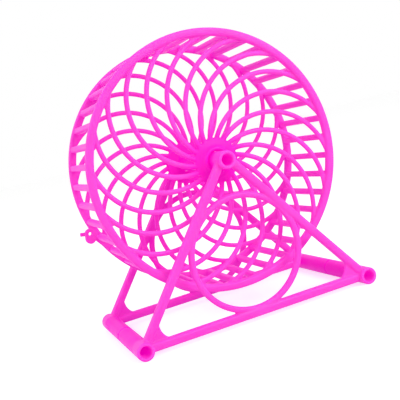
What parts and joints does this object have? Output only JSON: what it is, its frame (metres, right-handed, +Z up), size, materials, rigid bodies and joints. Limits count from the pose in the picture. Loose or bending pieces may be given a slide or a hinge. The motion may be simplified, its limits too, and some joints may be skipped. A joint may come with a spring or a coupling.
{
  "type": "hamster wheel",
  "caption": "Pink plastic exercise wheel for a hamster: a drum of slats between two faces of curved spokes, turning on the axle of a plug-together stand.",
  "frame": {"origin": "on the floor, midway between the two base tubes and midway between the two side frames", "axes": "+Z up, +Y to the back along the axle, +X to the right seen from the front"},
  "size_m": [0.1219, 0.073, 0.1342],
  "materials": {
    "pink_plastic": "semi-gloss moulded plastic"
  },
  "bodies": {
    "stand": {"front_side_frame": "pink_plastic", "rear_side_frame": "pink_plastic", "front_left_base_tube": "pink_plastic", "front_right_base_tube": "pink_plastic", "front_axle_tube": "pink_plastic", "rear_left_base_tube": "pink_plastic", "rear_right_base_tube": "pink_plastic", "rear_axle_tube": "pink_plastic"},
    "wheel": {"front_face": "pink_plastic", "rear_face": "pink_plastic", "slats": "pink_plastic", "rim_eye": "pink_plastic"}
  },
  "joints": [
    {"name": "wheel_spin", "type": "hinge", "parent": "stand", "child": "wheel", "pos_m": [0, 0, 0.07425], "axis": [0, -1, 0], "continuous": true}
  ]
}
